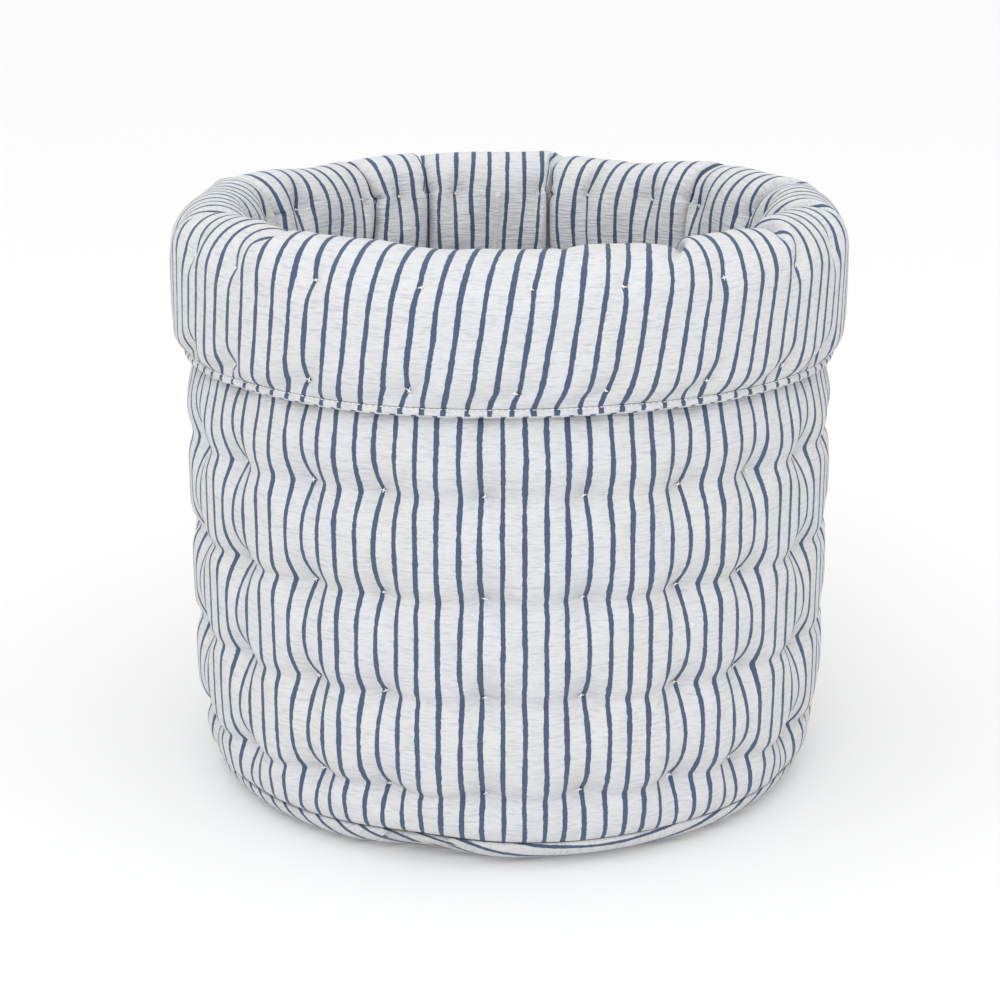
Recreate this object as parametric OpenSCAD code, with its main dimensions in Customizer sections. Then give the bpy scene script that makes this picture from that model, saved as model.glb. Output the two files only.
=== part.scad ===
// Round quilted storage basket in tufted muslin, its top turned down outwards as a padded cuff.
// Millimetres, +Z up, origin on the floor under the middle of the base, front towards -Y.
// The cloths and the wadding between them are separate rings turned about Z, and tufts tie them together.
// The turned-down top is three rings: the rim over the wall, the slack of the cuff, and the hem band.

/* [Body] */
// Outer radius of the padded wall
body_r = 189.5; // [175:0.5:192]
// Thickness of the padded wall at the belly
wall_t = 25; // [18:1:27]
// Height of the seam between the base and the wall
seam_z = 17; // [12:0.5:22]
// Height where the wall has swollen out to its full radius
foot_top_z = 75; // [50:5:110]
// How far the wall is pulled in at the base seam
foot_tuck = 7.5; // [2:0.5:10]

/* [Base] */
// Width of the rounded edge of the base pad
base_edge_w = 26; // [15:1:35]

/* [Neck under the cuff] */
// Height where the wall starts to lean in under the cuff
neck_start_z = 235; // [200:5:245]
// Height where the lean ends
neck_end_z = 300; // [290:1:305]
// Outer radius of the wall inside the cuff
neck_r = 177; // [170:0.5:178]
// Radius of the mouth, inside the rim
mouth_r = 149.5; // [140:0.5:155]

/* [Cuff] */
// Outer radius of the cuff
cuff_r = 200; // [196:0.5:206]
// Height of the top of the wall, where the rim starts
rim_z = 318; // [310:1:322]
// How far the rim stands above the top of the wall
rim_rise = 27.5; // [20:0.5:32]
// Height of the lower edge of the hem band, on top of the piping
hem_z = 263; // [258:1:266]
// Height of the upper edge of the hem band
hem_top_z = 280; // [276:1:284]
// How far the cuff is pulled in at its hem
hem_tuck = 10; // [4:0.5:12]
// Height where the cuff has swollen out to its full radius
cuff_full_z = 297; // [290:1:305]

/* [Cloth and thread] */
// Thickness of one quilted muslin cloth
cloth_t = 1; // [0.6:0.1:1.4]
// Radius of the piping round the hem
piping_r = 2.6; // [2:0.1:3.2]
// Radius of the tuft thread inside the pad
thread_r = 0.5; // [0.3:0.1:0.6]
// Radius of the stitch that shows at each end of a tuft
stitch_r = 0.8; // [0.7:0.1:1.2]
// Length of the stitch that shows at each end of a tuft
stitch_l = 5; // [3:0.5:7]

/* [Tufts] */
// Number of tufts round the basket
tuft_columns = 22; // [16:1:28]
// Direction of the first column of tufts, from +X towards +Y
first_column = -94; // [-100:1:-88]
// How far the cuff has slipped round the wall, seen from above
cuff_twist = 6; // [0:1:8]
// Height of the lowest row of tufts
first_row_z = 45.5; // [40:0.5:50]
// Distance from one row of tufts to the next
row_pitch = 56; // [50:1:57]

/* [Hidden] */

cloth_colour = [0.90, 0.91, 0.92];
lining_colour = [0.86, 0.88, 0.90];
wadding_colour = [0.98, 0.98, 0.96];
thread_colour = [0.95, 0.95, 0.93];
piping_colour = [0.45, 0.51, 0.62];

slide_gap = 0.8;                         // clear space between the wall and the cuff that slides over it
part_gap = 0.3;                          // clear space between the wall's top and the rim that lifts off it
seam_thread_r = 0.6;
side_seam_angle = 1.2;
side_seam_t = 0.6;
wall_top_z = rim_z - part_gap;
base_r = body_r - foot_tuck;             // widest radius of the base pad, at the seam
base_top_z = seam_z - cloth_t;           // upper edge of the base's outer cloth, under its lining
stuffing_z = seam_z + 2 * seam_thread_r; // lower edge of the wall's wadding, above the seam threads
rim_mid_r = (mouth_r + cuff_r) / 2;
rim_half_w = (cuff_r - mouth_r) / 2;
fold_mid_r = neck_r + slide_gap / 2;     // where the outer cloth meets itself inside the rim
wall_rows = 5;
base_rows = 2;                           // rows of base tufts on each side of the middle one
column_angle = 360 / tuft_columns;
seam_angle = first_column + (floor(tuft_columns / 2) + 0.5) * column_angle;  // at the back, between two columns
line_step = 6;                           // height between two points of a wall's outline
level_tol = 0.001;
arc_steps = 16;
$fn = 96;

// 0 below the neck, 1 above it, with a smooth lean in between
function neck_share(z) =
    z <= neck_start_z ? 0 :
    z >= neck_end_z ? 1 :
    (1 - cos(180 * (z - neck_start_z) / (neck_end_z - neck_start_z))) / 2;

// 1 at a pulled-in edge, falling to 0 where the pad has swollen out
function tuck_share(z, edge_z, full_z) = pow(max(0, full_z - z) / (full_z - edge_z), 2);

function wall_out_r(z) =
    body_r - foot_tuck * tuck_share(z, seam_z, foot_top_z) - (body_r - neck_r) * neck_share(z);
function wall_in_r(z) = body_r - wall_t - (body_r - wall_t - mouth_r) * neck_share(z);
function cuff_out_r(z) = cuff_r - hem_tuck * tuck_share(z, hem_z - piping_r, cuff_full_z);
function cuff_back_r(z) = wall_out_r(z) + slide_gap;
piping_mid_r = cuff_out_r(hem_z) - piping_r / 2;

// Even steps from one height to another, without the last, and those of a list that lie in a stretch
function steps(from_z, to_z) =
    let (n = ceil((to_z - from_z) / line_step)) [for (i = [0:n - 1]) from_z + (to_z - from_z) * i / n];
function within(levels, from_z, to_z) =
    [for (z = levels) if (z > from_z - level_tol && z < to_z + level_tol) z];

// Layers that touch share the heights of their outline points, so that their faces meet exactly
wall_levels = concat(
    steps(seam_z, stuffing_z), steps(stuffing_z, neck_start_z), steps(neck_start_z, wall_top_z), [wall_top_z]);
cuff_levels = concat(steps(hem_z, hem_top_z), steps(hem_top_z, rim_z), [rim_z]);

// Outlines of each surface, read upwards, moved sideways by d
function wall_out_line(d, from_z, to_z) = [for (z = within(wall_levels, from_z, to_z)) [wall_out_r(z) + d, z]];
function wall_in_line(d, from_z, to_z) = [for (z = within(wall_levels, from_z, to_z)) [wall_in_r(z) + d, z]];
function cuff_out_line(d, from_z, to_z) = [for (z = within(cuff_levels, from_z, to_z)) [cuff_out_r(z) + d, z]];
function cuff_back_line(d, from_z, to_z) = [for (z = within(cuff_levels, from_z, to_z)) [cuff_back_r(z) + d, z]];

// Half ellipse over the top of the wall, from the mouth side to the cuff side
function arch(mid_r, half_w, rise) =
    [for (i = [0:2 * arc_steps]) let (a = 180 - 90 * i / arc_steps)
        [mid_r + half_w * cos(a), rim_z + rise * sin(a)]];

// Rounded underside of the base pad, from the floor up to the seam, shrunk by d
function base_edge(d) =
    [for (i = [0:arc_steps]) let (a = -90 + 90 * i / arc_steps)
        [base_r - base_edge_w + (base_edge_w - d) * cos(a), base_top_z + (base_top_z - d) * sin(a)]];

function backwards(points) = [for (i = [len(points) - 1:-1:0]) points[i]];

// Ring turned about Z between two outlines that are both read in the same direction
module ring_between(line_a, line_b) {
    rotate_extrude() polygon(concat(line_a, backwards(line_b)));
}

module thread_ring(radius, z, thread) {
    rotate_extrude() translate([radius, z]) circle(r = thread, $fn = 24);
}

// Thread through a pad along +X, with a short stitch across each end, sunk flush with both faces
module tuft(face_in_r, face_out_r, z) {
    ends = [face_in_r + stitch_r, face_out_r - stitch_r];
    translate([ends[0], 0, z]) rotate([0, 90, 0]) cylinder(r = thread_r, h = ends[1] - ends[0], $fn = 16);
    for (r = ends)
        translate([r, -stitch_l / 2, z]) rotate([-90, 0, 0]) cylinder(r = stitch_r, h = stitch_l, $fn = 16);
}

module tuft_row(face_in_r, face_out_r, z) {
    for (i = [0:tuft_columns - 1])
        rotate([0, 0, first_column + i * column_angle]) tuft(face_in_r, face_out_r, z);
}

// Narrow raised strip up one side of the wall, where the cloth's two ends are sewn together
module side_seam(line_a, line_b) {
    rotate([0, 0, seam_angle - side_seam_angle / 2])
        rotate_extrude(angle = side_seam_angle) polygon(concat(line_a, backwards(line_b)));
}

/* Base */

module base_cover() {
    color(cloth_colour) rotate_extrude() polygon(concat(
        [[0, 0]], base_edge(0), backwards(base_edge(cloth_t)), [[0, cloth_t]]));
}

module base_wadding() {
    color(wadding_colour) rotate_extrude() polygon(concat(
        [[0, cloth_t]], base_edge(cloth_t), [[0, base_top_z]]));
}

module base_lining() {
    color(lining_colour) translate([0, 0, base_top_z]) cylinder(r = base_r, h = cloth_t);
}

module base_tufts() {
    color(thread_colour)
        for (i = [-base_rows:base_rows], j = [-base_rows:base_rows])
            if (abs(i) + abs(j) < 2 * base_rows)
                translate([i * row_pitch, j * row_pitch, 0]) rotate([0, -90, 0]) tuft(0, seam_z, 0);
}

module base_seam_thread() {
    color(thread_colour) thread_ring(base_r - cloth_t - seam_thread_r, seam_z + seam_thread_r, seam_thread_r);
}

module lining_seam_thread() {
    color(thread_colour)
        thread_ring(wall_in_r(seam_z) - seam_thread_r, seam_z + seam_thread_r, seam_thread_r);
}

/* Wall */

module wall_cover() {
    color(cloth_colour) ring_between(
        wall_out_line(0, seam_z, wall_top_z), wall_out_line(-cloth_t, seam_z, wall_top_z));
}

module wall_wadding() {
    color(wadding_colour) ring_between(
        wall_out_line(-cloth_t, stuffing_z, neck_start_z), wall_in_line(cloth_t, stuffing_z, neck_start_z));
}

module neck_wadding() {
    color(wadding_colour) ring_between(
        wall_out_line(-cloth_t, neck_start_z, wall_top_z), wall_in_line(cloth_t, neck_start_z, wall_top_z));
}

module wall_lining() {
    color(lining_colour) ring_between(
        wall_in_line(cloth_t, seam_z, wall_top_z), wall_in_line(0, seam_z, wall_top_z));
}

module wall_tufts() {
    color(thread_colour)
        for (row = [0:wall_rows - 1])
            let (z = first_row_z + row * row_pitch)
                tuft_row(wall_in_r(z), wall_out_r(z), z);
}

module wall_side_seam() {
    color(cloth_colour) side_seam(
        wall_out_line(side_seam_t, seam_z, neck_start_z), wall_out_line(0, seam_z, neck_start_z));
}

module lining_side_seam() {
    color(lining_colour) side_seam(
        wall_in_line(0, stuffing_z, wall_top_z), wall_in_line(-side_seam_t, stuffing_z, wall_top_z));
}

/* Rim, where the pad turns over and outwards */

module rim_cover() {
    color(cloth_colour) ring_between(
        arch(rim_mid_r, rim_half_w, rim_rise), arch(rim_mid_r, rim_half_w - cloth_t, rim_rise - cloth_t));
}

module rim_wadding() {
    color(wadding_colour) ring_between(
        arch(rim_mid_r, rim_half_w - cloth_t, rim_rise - cloth_t),
        arch(fold_mid_r, slide_gap / 2 + cloth_t, 3 * cloth_t));
}

module rim_backing() {
    color(lining_colour) ring_between(
        arch(fold_mid_r, slide_gap / 2 + cloth_t, 3 * cloth_t), arch(fold_mid_r, slide_gap / 2, 2 * cloth_t));
}

module rim_tufts() {
    tuft_z = first_row_z + wall_rows * row_pitch;
    share = sqrt(1 - pow((tuft_z - rim_z) / rim_rise, 2));
    color(thread_colour) {
        tuft_row(rim_mid_r - rim_half_w * share, fold_mid_r - slide_gap / 2, tuft_z);
        rotate([0, 0, cuff_twist])
            tuft_row(fold_mid_r + slide_gap / 2, rim_mid_r + rim_half_w * share, tuft_z);
    }
}

/* Cuff, the slack that shortens as the hem is rolled up */

module cuff_cover() {
    color(cloth_colour) ring_between(
        cuff_out_line(0, hem_top_z, rim_z), cuff_out_line(-cloth_t, hem_top_z, rim_z));
}

module cuff_wadding() {
    color(wadding_colour) ring_between(
        cuff_out_line(-cloth_t, hem_top_z, rim_z), cuff_back_line(cloth_t, hem_top_z, rim_z));
}

module cuff_backing() {
    color(lining_colour) ring_between(
        cuff_back_line(cloth_t, hem_top_z, rim_z), cuff_back_line(0, hem_top_z, rim_z));
}

/* Hem band and piping */

module hem_cover() {
    color(cloth_colour) ring_between(
        cuff_out_line(0, hem_z, hem_top_z), cuff_out_line(-cloth_t, hem_z, hem_top_z));
}

module hem_wadding() {
    color(wadding_colour) ring_between(
        cuff_out_line(-cloth_t, hem_z, hem_top_z), cuff_back_line(cloth_t, hem_z, hem_top_z));
}

module hem_backing() {
    color(lining_colour) ring_between(
        cuff_back_line(cloth_t, hem_z, hem_top_z), cuff_back_line(0, hem_z, hem_top_z));
}

module hem_tufts() {
    tuft_z = (hem_z + hem_top_z) / 2;
    color(thread_colour) rotate([0, 0, cuff_twist]) tuft_row(cuff_back_r(tuft_z), cuff_out_r(tuft_z), tuft_z);
}

module hem_piping() {
    color(piping_colour) rotate_extrude() translate([piping_mid_r, hem_z - piping_r])
        difference() {
            circle(r = piping_r);
            circle(r = piping_r - cloth_t);
        }
}

module hem_piping_cord() {
    color(wadding_colour) thread_ring(piping_mid_r, hem_z - piping_r, piping_r - cloth_t);
}

// Lies in the corner between the hem's lower edge and the piping, touching both
module hem_seam_thread() {
    corner = 2 * sqrt(piping_r * seam_thread_r);
    color(thread_colour) thread_ring(piping_mid_r + corner, hem_z - seam_thread_r, seam_thread_r);
}

base_cover();
base_wadding();
base_lining();
base_tufts();
base_seam_thread();
lining_seam_thread();
wall_cover();
wall_wadding();
neck_wadding();
wall_lining();
wall_tufts();
wall_side_seam();
lining_side_seam();
rim_cover();
rim_wadding();
rim_backing();
rim_tufts();
cuff_cover();
cuff_wadding();
cuff_backing();
hem_cover();
hem_wadding();
hem_backing();
hem_tufts();
hem_piping();
hem_piping_cord();
hem_seam_thread();
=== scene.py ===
# Looks of a round quilted storage basket: striped tufted muslin over wadding, its top turned down as a cuff.
# Metres, +Z up, origin on the floor under the middle of the base, front towards -Y.
import math

import bpy
import numpy as np
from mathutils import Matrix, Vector


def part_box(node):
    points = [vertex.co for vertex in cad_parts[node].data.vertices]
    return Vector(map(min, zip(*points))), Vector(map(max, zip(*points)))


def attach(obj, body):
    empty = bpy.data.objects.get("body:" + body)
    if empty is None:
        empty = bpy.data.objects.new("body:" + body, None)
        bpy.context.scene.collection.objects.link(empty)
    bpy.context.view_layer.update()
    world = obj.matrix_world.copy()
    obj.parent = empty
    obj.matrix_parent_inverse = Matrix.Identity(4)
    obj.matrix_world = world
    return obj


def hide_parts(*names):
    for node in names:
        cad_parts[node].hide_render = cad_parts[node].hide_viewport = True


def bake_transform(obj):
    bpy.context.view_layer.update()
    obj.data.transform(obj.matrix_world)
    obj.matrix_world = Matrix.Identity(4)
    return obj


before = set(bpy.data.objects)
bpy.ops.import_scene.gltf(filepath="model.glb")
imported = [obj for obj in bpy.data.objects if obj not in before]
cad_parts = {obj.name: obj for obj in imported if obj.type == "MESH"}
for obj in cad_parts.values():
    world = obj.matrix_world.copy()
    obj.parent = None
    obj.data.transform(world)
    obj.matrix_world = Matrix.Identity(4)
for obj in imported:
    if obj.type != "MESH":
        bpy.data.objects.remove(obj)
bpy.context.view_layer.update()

MM = 0.001
TAU = 2 * math.pi


# -------------------- sizes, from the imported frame

def radii(node):
    """Smallest and largest distance of a CAD node from the axis."""
    co = np.array([v.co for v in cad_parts[node].data.vertices])
    r = np.hypot(co[:, 0], co[:, 1])
    return float(r.min()), float(r.max())


CLOTH_T = 1 * MM
SEAM_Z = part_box("wall_cover")[0].z
RIM_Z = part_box("rim_cover")[0].z
TOP_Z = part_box("rim_cover")[1].z
HEM_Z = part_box("hem_cover")[0].z
BODY_R = radii("wall_cover")[1]
NECK_R = radii("wall_cover")[0] + CLOTH_T
BELLY_IN_R = radii("wall_lining")[1] - CLOTH_T
MOUTH_R, CUFF_R = radii("rim_cover")
BASE_R = radii("base_lining")[1]
RIM_MID_R = (MOUTH_R + CUFF_R) / 2
RIM_HALF_W = (CUFF_R - MOUTH_R) / 2
RIM_RISE = TOP_Z - RIM_Z
PIPING_LOW, PIPING_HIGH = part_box("hem_piping")
PIPING_R = (PIPING_HIGH.z - PIPING_LOW.z) / 2
PIPING_Z = (PIPING_HIGH.z + PIPING_LOW.z) / 2
PIPING_MID_R = PIPING_HIGH.x - PIPING_R

FOOT_TOP_Z = 75 * MM  # below it the wall draws in towards the base
FOOT_TUCK = BODY_R - BASE_R
NECK_START_Z, NECK_END_Z = 235 * MM, 300 * MM  # between them the wall narrows under the cuff
CUFF_FULL_Z = 297 * MM  # below it the cuff draws in towards its hem
HEM_TUCK = 10 * MM
SLIDE_GAP = 0.8 * MM  # between the cuff's back and the wall
EDGE_W = 26 * MM  # width of the base's rounded edge

# Tufts
COLUMNS = 22
FIRST_COLUMN = math.radians(-94)
FIRST_ROW_Z = 45.5 * MM
ROW_PITCH = 56 * MM
WALL_ROWS = 5
JOIN_Z = FIRST_ROW_Z + WALL_ROWS * ROW_PITCH
HEM_TUFT_Z = (HEM_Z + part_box("hem_cover")[1].z) / 2

# Mesh of the quilts
CELLS = 14  # cells from one column of tufts to the next
AROUND = COLUMNS * CELLS  # cells round the whole basket
ROW_CELLS = 12  # cells from one row of tufts to the next
FOOT_CELLS = 6
SEAM_ANGLE = FIRST_COLUMN + TAU * (COLUMNS // 2 + 0.5) / COLUMNS
EVEN_ANGLES = SEAM_ANGLE + np.arange(AROUND) * TAU / AROUND
CUFF_TUFT_SHIFT = CELLS // 2  # the cuff's tufts sit between the wall's, along the cloth
ARCH_CELLS = 16  # from the inner row of tufts over the rim to the outer one
CUFF_CELLS = 12  # from that row to the hem's row
HEM_CELLS = 2
CUFF_ROWS = ARCH_CELLS + CUFF_CELLS + HEM_CELLS + 1
CUFF_TUFT_ROWS = [ARCH_CELLS, ARCH_CELLS + CUFF_CELLS]
CREST_ROW = ARCH_CELLS // 2

# Cloth
NATURAL_R = 190 * MM  # radius of the sewn tube before it is gathered at the mouth
STRIPES = 104
STRIPE_PITCH = TAU * NATURAL_R / STRIPES
CELL_W = TAU * NATURAL_R / AROUND  # width of a cell, along the cloth
FOOT_EDGE_Z = SEAM_Z + 15 * MM  # above it the wall is padded in full

# Outer cloth of the wall
WALL_INSET = 5 * MM  # from the CAD's outline in to where the cloth starts, before it swells
WALL_TUFT_DEPTH = (10, 12.5)  # least and most, in millimetres
WALL_SLACK = 1.062
WALL_PUSH = 0.15 * MM  # swelling in each step of the simulation
WALL_SAG = 0.016 * MM  # fall in each step
WALL_ROOM = 3 * MM  # how far the wall may swell past the CAD's radius, below the cuff

# Inner cloth: lining, rim and cuff
LINING_INSET = 3 * MM
LINING_TUFT_DEPTH = 6.5 * MM
CUFF_INSET = 4.5 * MM
RIM_TUFT_DEPTH = (6, 8)
HEM_TUFT_DEPTH = (4, 5.5)
INNER_SLACK = 1.05
INNER_PUSH = -0.12 * MM  # negative, as this cloth's normals point into its wadding
INNER_SAG = 0.015 * MM
MOUTH_ROOM = 4 * MM  # how far the lining and the rim may swell inwards of the CAD
CUFF_MARGIN = 1.5 * MM  # how far inside the CAD's radius the cuff stays
CREST_ROOM = 2 * MM

# Colours
MUSLIN = (0.725, 0.74, 0.765)
# painted shade: grey for the creases of the crinkles
CRINKLE_SHADE = (0.44, 0.465, 0.51, 1)
STRIPE_BLUE = (0.063, 0.098, 0.182)
FADED_BLUE = (0.33, 0.38, 0.47, 1)

# Brightness of the studio low behind the basket, and high in front of it
SKY_LOW, SKY_HIGH = 0.28, 1.48


# -------------------- camera, light and floor

def make_camera():
    cam = bpy.data.cameras.new("camera")
    cam.lens = 75.06
    cam.sensor_width = 36
    cam.shift_x = -0.009
    cam.clip_start = 0.05
    obj = bpy.data.objects.new("camera", cam)
    obj.location = (0, -1.225, 0.5155)
    obj.rotation_euler = (math.pi / 2 - 0.283, 0, 0)
    bpy.context.scene.collection.objects.link(obj)
    bpy.context.scene.camera = obj


def area_light(name, place, target, size, watts):
    light = bpy.data.lights.new(name, "AREA")
    light.shape = "DISK"
    light.size = size
    light.energy = watts
    obj = bpy.data.objects.new(name, light)
    obj.location = place
    obj.rotation_euler = (Vector(target) - Vector(place)).to_track_quat("-Z", "Y").to_euler()
    bpy.context.scene.collection.objects.link(obj)


def make_light():
    """Soft studio light: a sky that is brighter in front and above, and one soft lamp from the front."""
    world = bpy.data.worlds.new("studio")
    world.use_nodes = True
    tree = world.node_tree
    coords = tree.nodes.new("ShaderNodeTexCoord")
    towards = tree.nodes.new("ShaderNodeVectorMath")
    towards.operation = "DOT_PRODUCT"
    towards.inputs[1].default_value = (-0.05, -0.44, 0.9)
    sky = tree.nodes.new("ShaderNodeMapRange")
    tree.links.new(coords.outputs["Generated"], towards.inputs[0])
    tree.links.new(towards.outputs["Value"], sky.inputs["Value"])
    limits = {"From Min": -0.3, "From Max": 1.0, "To Min": SKY_LOW, "To Max": SKY_HIGH}
    for key, value in limits.items():
        sky.inputs[key].default_value = value
    tree.links.new(sky.outputs["Result"], tree.nodes["Background"].inputs["Strength"])
    tree.nodes["Background"].inputs["Color"].default_value = (1, 1, 1, 1)
    bpy.context.scene.world = world
    area_light("key", place=(-0.2, -2.1, 1.9), target=(0, 0, 0.25), size=1.1, watts=11)
    bpy.context.scene.view_settings.view_transform = "Standard"


def make_floor():
    size = 24.0
    mesh = bpy.data.meshes.new("floor")
    corners = [(-size, -size, 0), (size, -size, 0), (size, size, 0), (-size, size, 0)]
    mesh.from_pydata(corners, [], [(0, 1, 2, 3)])
    floor = bpy.data.objects.new("floor", mesh)
    bpy.context.scene.collection.objects.link(floor)
    mat = bpy.data.materials.new("floor_paint")
    mat.use_nodes = True
    shader = mat.node_tree.nodes["Principled BSDF"]
    shader.inputs["Base Color"].default_value = (0.79, 0.79, 0.79, 1)
    shader.inputs["Roughness"].default_value = 0.9
    shader.inputs["Emission Color"].default_value = (1, 1, 1, 1)
    shader.inputs["Emission Strength"].default_value = 0.10
    mesh.materials.append(mat)


# -------------------- materials

class Nodes:
    """Short calls for building a material's node tree."""

    def __init__(self, name):
        self.material = bpy.data.materials.new(name)
        self.material.use_nodes = True
        self.tree = self.material.node_tree
        self.shader = self.tree.nodes["Principled BSDF"]

    def put(self, socket, value):
        if isinstance(value, bpy.types.NodeSocket):
            self.tree.links.new(value, socket)
        else:
            socket.default_value = value

    def math(self, operation, a, b=0.0):
        node = self.tree.nodes.new("ShaderNodeMath")
        node.operation = operation
        self.put(node.inputs[0], a)
        self.put(node.inputs[1], b)
        return node.outputs[0]

    def vector(self, x, y, z=0.0):
        node = self.tree.nodes.new("ShaderNodeCombineXYZ")
        for socket, value in zip(node.inputs, (x, y, z)):
            self.put(socket, value)
        return node.outputs[0]

    def scaled(self, across, along, across_rate, along_rate):
        """Place on the cloth with each direction scaled."""
        x = self.math("MULTIPLY", across, across_rate)
        return self.vector(x, self.math("MULTIPLY", along, along_rate))

    def noise(self, place, detail=2.0, roughness=0.5):
        node = self.tree.nodes.new("ShaderNodeTexNoise")
        self.put(node.inputs["Vector"], place)
        node.inputs["Scale"].default_value = 1.0
        self.put(node.inputs["Detail"], detail)
        self.put(node.inputs["Roughness"], roughness)
        return node.outputs["Fac"]

    def random(self, value):
        node = self.tree.nodes.new("ShaderNodeTexWhiteNoise")
        node.noise_dimensions = "1D"
        self.put(node.inputs["W"], value)
        return node.outputs["Value"]

    def ramp(self, value, low, high, out_low=0.0, out_high=1.0, smooth=True):
        node = self.tree.nodes.new("ShaderNodeMapRange")
        node.interpolation_type = "SMOOTHSTEP" if smooth else "LINEAR"
        for socket, v in zip(node.inputs, (value, low, high, out_low, out_high)):
            self.put(socket, v)
        return node.outputs["Result"]

    def mix(self, factor, a, b):
        node = self.tree.nodes.new("ShaderNodeMix")
        node.data_type = "RGBA"
        self.put(node.inputs["Factor"], factor)
        self.put(node.inputs["A"], a)
        self.put(node.inputs["B"], b)
        return node.outputs["Result"]

    def bump(self, height, distance, strength=1.0):
        node = self.tree.nodes.new("ShaderNodeBump")
        self.put(node.inputs["Height"], height)
        node.inputs["Distance"].default_value = distance
        node.inputs["Strength"].default_value = strength
        self.put(self.shader.inputs["Normal"], node.outputs["Normal"])

    def cloth_place(self):
        """Place on the cloth in metres, from the piece's own UV map: across the stripes, and along them."""
        uv = self.tree.nodes.new("ShaderNodeUVMap")
        uv.uv_map = "cloth"
        parts = self.tree.nodes.new("ShaderNodeSeparateXYZ")
        self.put(parts.inputs[0], uv.outputs[0])
        return parts.outputs[0], parts.outputs[1]


def tinted(colour, red=1.0, green=1.0, blue=1.0):
    """A colour for a shader, with each channel scaled."""
    return (colour[0] * red, colour[1] * green, colour[2] * blue, 1)


def stripe_ink(n, across, along, stripe, key):
    """1 on a stripe and 0 beside it. Each one sways, swells and frays in its own way."""
    chance = n.random(stripe)
    local = n.math("SUBTRACT", n.math("DIVIDE", across, STRIPE_PITCH), stripe)
    sway = n.noise(n.vector(key, n.math("MULTIPLY", along, 1 / (30 * MM))), detail=1)
    fray = n.noise(n.scaled(across, along, 900, 330), detail=3)
    moved = n.math("ADD", local, n.math("MULTIPLY", n.math("SUBTRACT", sway, 0.5), 0.14))
    moved = n.math("ADD", moved, n.math("MULTIPLY", n.math("SUBTRACT", chance, 0.5), 0.10))
    distance = n.math("ABSOLUTE", moved)
    distance = n.math("ADD", distance, n.math("MULTIPLY", n.math("SUBTRACT", fray, 0.5), 0.10))
    swell = n.noise(n.vector(n.math("ADD", key, 40.0), n.math("MULTIPLY", along, 1 / (17 * MM))), detail=2)
    half = n.ramp(swell, 0.3, 0.7, 0.098, 0.146, smooth=False)
    half = n.math("MULTIPLY", half, n.ramp(chance, 0, 1, 0.88, 1.1, smooth=False))
    return n.ramp(n.math("SUBTRACT", half, distance), -0.012, 0.012)


def stripe_colour(n, along, key, weave):
    """Blue that drifts between teal and plum along a stripe, and fades where the ink misses the weave."""
    hue = n.noise(n.vector(n.math("ADD", key, 9.0), n.math("MULTIPLY", along, 1 / (24 * MM))), detail=2)
    teal = tinted(STRIPE_BLUE, red=0.95, green=1.07)
    plum = tinted(STRIPE_BLUE, red=1.08, green=0.95)
    blue = n.mix(n.ramp(hue, 0.35, 0.65), teal, plum)
    return n.mix(n.ramp(weave, 0.42, 0.72, 0.0, 0.22), blue, FADED_BLUE)


def ground_colour(n, patch, crinkle):
    """Off-white, warmer in patches, with painted shade greying the crinkles."""
    cream = tinted(MUSLIN, red=1.01, blue=0.965)
    white = n.mix(n.ramp(patch, 0.35, 0.7), tinted(MUSLIN), cream)
    # painted shade: the low parts of the crinkle pattern are mixed towards grey
    return n.mix(n.ramp(crinkle, 0.33, 0.52, 0.40, 0.0), white, CRINKLE_SHADE)


def muslin(name):
    """Crinkled double-gauze muslin with hand-drawn stripes of uneven width and colour."""
    n = Nodes(name)
    across, along = n.cloth_place()
    stripe = n.math("FLOOR", n.math("ADD", n.math("DIVIDE", across, STRIPE_PITCH), 0.5))
    key = n.math("MULTIPLY", stripe, 3.7)
    crinkle = n.noise(n.scaled(across, along, 85, 580), detail=4, roughness=0.65)
    weave = n.noise(n.scaled(across, along, 1700, 1700), detail=1)
    patch = n.noise(n.scaled(across, along, 22, 22), detail=2)
    ink = stripe_ink(n, across, along, stripe, key)
    colour = n.mix(ink, ground_colour(n, patch, crinkle), stripe_colour(n, along, key, weave))
    n.put(n.shader.inputs["Base Color"], colour)
    n.bump(n.math("ADD", crinkle, n.math("MULTIPLY", weave, 0.22)), 1.8 * MM)
    n.put(n.shader.inputs["Roughness"], n.ramp(patch, 0.3, 0.7, 0.82, 0.95))
    n.shader.inputs["Sheen Weight"].default_value = 0.12
    n.shader.inputs["Sheen Roughness"].default_value = 0.5
    n.shader.inputs["Specular IOR Level"].default_value = 0.2
    return n.material


def thread_material():
    """White twisted cotton thread."""
    n = Nodes("cotton_thread")
    across, along = n.cloth_place()
    twist = n.math("SINE", n.math("ADD", n.math("MULTIPLY", along, 9000), n.math("MULTIPLY", across, 5000)))
    fuzz = n.noise(n.scaled(across, along, 4000, 4000), detail=2)
    colour = n.mix(n.ramp(fuzz, 0.3, 0.7), (0.93, 0.93, 0.94, 1), (0.99, 0.99, 1.0, 1))
    n.put(n.shader.inputs["Base Color"], colour)
    n.bump(n.math("ADD", twist, fuzz), 0.08 * MM, 0.6)
    n.put(n.shader.inputs["Roughness"], n.ramp(fuzz, 0.3, 0.7, 0.6, 0.8))
    n.shader.inputs["Sheen Weight"].default_value = 0.2
    return n.material


# -------------------- outlines

def share(x, low, high):
    """0 below low, 1 above high, with a smooth lean in between."""
    t = np.clip((np.asarray(x, float) - low) / (high - low), 0, 1)
    return t * t * (3 - 2 * t)


def neck_share(z):
    """0 below the neck and 1 where the wall is narrowest."""
    t = np.clip((np.asarray(z, float) - NECK_START_Z) / (NECK_END_Z - NECK_START_Z), 0, 1)
    return (1 - np.cos(math.pi * t)) / 2


def tuck_share(z, edge_z, full_z):
    """0 above full_z, rising to 1 at the edge below it."""
    return (np.maximum(0, full_z - np.asarray(z, float)) / (full_z - edge_z)) ** 2


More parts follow.
